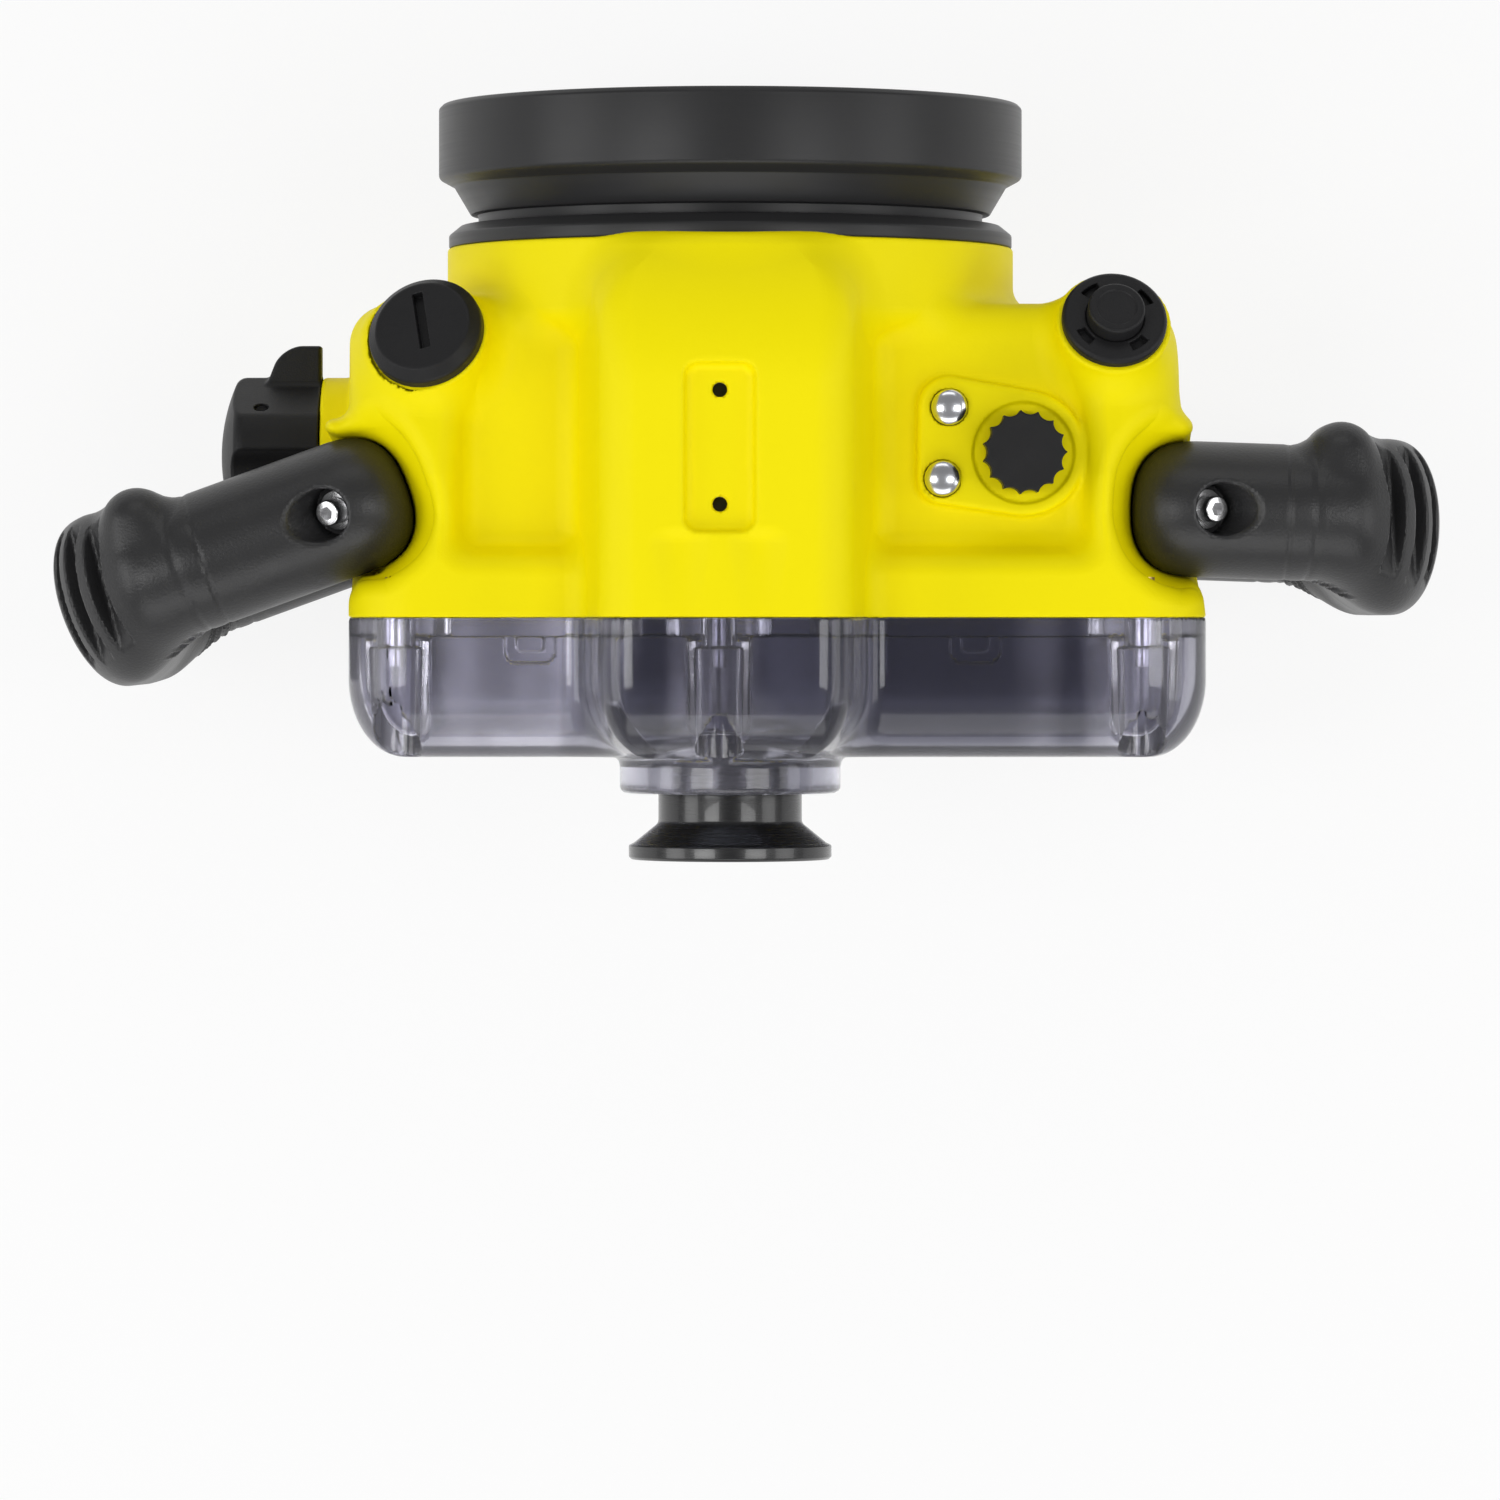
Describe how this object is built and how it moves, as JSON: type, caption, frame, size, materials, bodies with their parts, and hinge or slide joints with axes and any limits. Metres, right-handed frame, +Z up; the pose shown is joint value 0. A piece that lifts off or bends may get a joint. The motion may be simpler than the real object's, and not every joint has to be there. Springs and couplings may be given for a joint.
{
  "type": "underwater camera housing",
  "caption": "Underwater housing for a reflex camera: moulded shell with flat lens port, clear rear cover, eyepiece, two loop handles and sealed controls.",
  "frame": {"origin": "mouth of the tripod thread in the base, straight below the lens axis", "axes": "+Z up, lens looks along -Y, viewer's left hand at +X"},
  "size_m": [0.3139, 0.1705, 0.147],
  "materials": {
    "shell": "satin moulded",
    "black_plastic": "matte moulded",
    "port_black": "satin machined",
    "gloss_black": "semi-gloss",
    "handle_rubber": "matte",
    "seal": "smooth",
    "tray": "anodised",
    "stainless": "bright",
    "brass": "turned",
    "chrome": "polished",
    "clear_cover": "clear smoky moulding",
    "window": "coated"
  },
  "bodies": {
    "housing": {"front_shell": "shell", "port_ring": "black_plastic", "tripod_insert": "brass", "shoe_inserts": "brass", "cover_inserts": "brass", "handle_inserts": "brass", "body_seal": "seal", "camera_tray": "tray", "tray_screws": "stainless", "camera_screw": "stainless", "plug_cap": "black_plastic", "plug_seal": "seal", "shutter_bezel": "black_plastic", "zoom_gland": "black_plastic", "dial_gland": "black_plastic", "button_glands": "black_plastic", "left_handle": "handle_rubber", "right_handle": "handle_rubber", "handle_screws": "stainless", "handle_washers": "stainless"},
    "port": {"lens_port": "port_black", "port_window": "window", "port_retainer": "port_black", "port_seal": "seal"},
    "cover": {"back_cover": "clear_cover", "cover_sleeves": "stainless", "cover_screws": "stainless", "eyepiece_barrel": "gloss_black", "eyepiece_lens": "window", "eyepiece_seal": "seal"},
    "zoom": {"zoom_knob": "black_plastic", "zoom_shaft": "stainless", "zoom_gear": "black_plastic", "zoom_clip": "stainless"},
    "dial": {"dial_knob": "black_plastic", "dial_shaft": "stainless", "dial_wheel": "seal", "dial_clip": "stainless"},
    "button_f": {"front_button": "chrome", "front_button_clip": "stainless", "front_button_spring": "stainless"},
    "button_r": {"rear_button": "chrome", "rear_button_clip": "stainless", "rear_button_spring": "stainless"},
    "shutter": {"shutter_button": "black_plastic", "shutter_clip": "stainless", "shutter_spring": "stainless"}
  },
  "joints": [
    {"name": "port_twist", "type": "hinge", "parent": "housing", "child": "port", "pos_m": [0, -0.06, 0.072], "axis": [0, -1, 0], "range_deg": [0, 60]},
    {"name": "cover_lift_off", "type": "slide", "parent": "housing", "child": "cover", "axis": [0, 1, 0], "range_m": [0, 0.06]},
    {"name": "zoom_turn", "type": "hinge", "parent": "housing", "child": "zoom", "pos_m": [0.0931, -0.0097, 0.072], "axis": [1, 0, 0], "range_deg": [-45, 90]},
    {"name": "dial_turn", "type": "hinge", "parent": "housing", "child": "dial", "pos_m": [-0.065, -0.0095, 0.1215], "axis": [0, 0, 1], "continuous": true},
    {"name": "front_button_press", "type": "slide", "parent": "housing", "child": "button_f", "axis": [0, 0, -1], "range_m": [0, 0.0025], "stiffness_N_per_m": 400, "springref_m": -0.001, "deforming": ["front_button_spring"]},
    {"name": "rear_button_press", "type": "slide", "parent": "housing", "child": "button_r", "axis": [0, 0, -1], "range_m": [0, 0.0025], "stiffness_N_per_m": 400, "springref_m": -0.001, "deforming": ["rear_button_spring"]},
    {"name": "shutter_press", "type": "slide", "parent": "housing", "child": "shutter", "axis": [0.061, 0.4848, -0.8725], "range_m": [0, 0.003], "stiffness_N_per_m": 400, "springref_m": -0.001, "deforming": ["shutter_spring"]}
  ]
}
